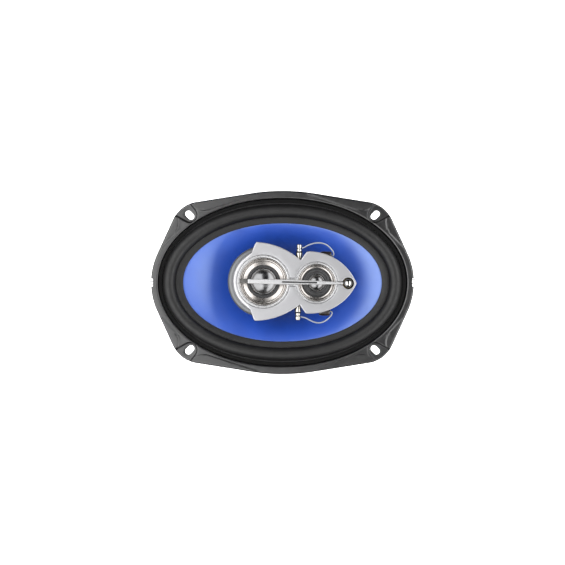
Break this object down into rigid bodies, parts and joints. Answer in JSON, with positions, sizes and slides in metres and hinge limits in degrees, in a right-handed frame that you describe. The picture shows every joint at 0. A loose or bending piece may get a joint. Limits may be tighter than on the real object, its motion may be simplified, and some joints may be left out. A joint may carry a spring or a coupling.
{
  "type": "coaxial car speaker",
  "caption": "Oval coaxial car speaker: pressed steel basket, blue cone on a rubber roll, and a silver bridge with midrange, tweeter and super tweeter.",
  "frame": {"origin": "centre of the four mounting slots, on the plane of the flange's rear face", "axes": "+X along the long axis towards the super tweeter, +Y across, +Z out of the front of the speaker"},
  "size_m": [0.2402, 0.166, 0.1032],
  "materials": {
    "basket": "satin black stoving enamel over pressed steel",
    "gasket": "matt black pressed gasket",
    "surround": "soft matt black butyl rubber",
    "cone": "blue injected polypropylene, satin gloss",
    "aluminium_foil": "bare foil former",
    "copper": "enamelled copper winding",
    "felt": "black felt",
    "brass": "plain brass",
    "spider_cloth": "resin-dipped woven cotton",
    "plated_steel": "yellow-white zinc plate over turned steel",
    "ferrite": "ground sintered ferrite",
    "boot_rubber": "moulded rubber, fine texture",
    "rivet_steel": "zinc plated",
    "board": "brown phenolic paper laminate",
    "tinned_brass": "tin plated",
    "tinsel": "woven copper tinsel",
    "black_wire": "black insulation",
    "post_aluminium": "turned aluminium",
    "body_grey": "grey metallic paint on moulded plastic",
    "cover_silver": "satin silver paint on moulded plastic",
    "bezel_silver": "bright silver plating on moulded plastic",
    "bowl_silver": "vacuum-metallised plastic, bright",
    "dome_metal": "metallised film",
    "ring_black": "black moulded plastic",
    "small_steel": "nickel plated steel",
    "neodymium": "nickel plated neodymium",
    "piezo": "piezo ceramic on a brass disc",
    "chrome": "polished",
    "post_nickel": "bright nickel plate",
    "bush_black": "black sleeve",
    "capacitor": "brown dipped film",
    "lead_grey": "grey insulation"
  },
  "bodies": {
    "root": {"basket": "basket", "front_gasket": "gasket", "surround": "surround", "spider": "spider_cloth", "top_plate": "plated_steel", "magnet": "ferrite", "yoke": "plated_steel", "magnet_boot": "boot_rubber", "plate_rivets": "rivet_steel", "terminal_board": "board", "board_rivets": "rivet_steel", "positive_tab": "brass", "negative_tab": "tinned_brass", "tab_rivets": "rivet_steel", "tinsel_lead_positive": "tinsel", "tinsel_lead_negative": "tinsel", "flex_lead_positive": "black_wire", "flex_lead_negative": "black_wire", "bridge_post": "post_aluminium", "post_nut": "rivet_steel", "bridge_body": "body_grey", "bridge_cover": "cover_silver", "bridge_bezel": "bezel_silver", "cover_screws": "rivet_steel", "mid_yoke": "small_steel", "mid_magnet": "neodymium", "mid_pole": "small_steel", "mid_ring": "ring_black", "mid_bowl": "bowl_silver", "tweeter_yoke": "small_steel", "tweeter_magnet": "neodymium", "tweeter_pole": "small_steel", "tweeter_ring": "ring_black", "tweeter_bowl": "bowl_silver", "super_well": "ring_black", "piezo_disc": "piezo", "super_ball": "chrome", "lead_posts": "post_nickel", "post_bushes": "bush_black", "crossover_capacitors": "capacitor", "bridge_lead_upper": "lead_grey", "bridge_lead_lower": "lead_grey"},
    "cone_assembly": {"cone": "cone", "voice_coil_former": "aluminium_foil", "voice_coil": "copper", "dust_ring": "felt", "cone_eyelets": "brass"},
    "mid_diaphragm": {"mid_dome": "dome_metal", "mid_coil": "copper"},
    "tweeter_diaphragm": {"tweeter_dome": "dome_metal", "tweeter_coil": "copper"}
  },
  "joints": [
    {"name": "cone_stroke", "type": "slide", "parent": "root", "child": "cone_assembly", "axis": [0, 0, 1], "range_m": [-0.005, 0.005], "stiffness_N_per_m": 2500, "deforming": ["surround", "spider", "tinsel_lead_positive", "tinsel_lead_negative", "flex_lead_positive", "flex_lead_negative"]},
    {"name": "mid_dome_stroke", "type": "slide", "parent": "root", "child": "mid_diaphragm", "axis": [0, 0, 1], "range_m": [-0.0005, 0.0005], "stiffness_N_per_m": 800},
    {"name": "tweeter_dome_stroke", "type": "slide", "parent": "root", "child": "tweeter_diaphragm", "axis": [0, 0, 1], "range_m": [-0.0003, 0.0003], "stiffness_N_per_m": 800}
  ]
}
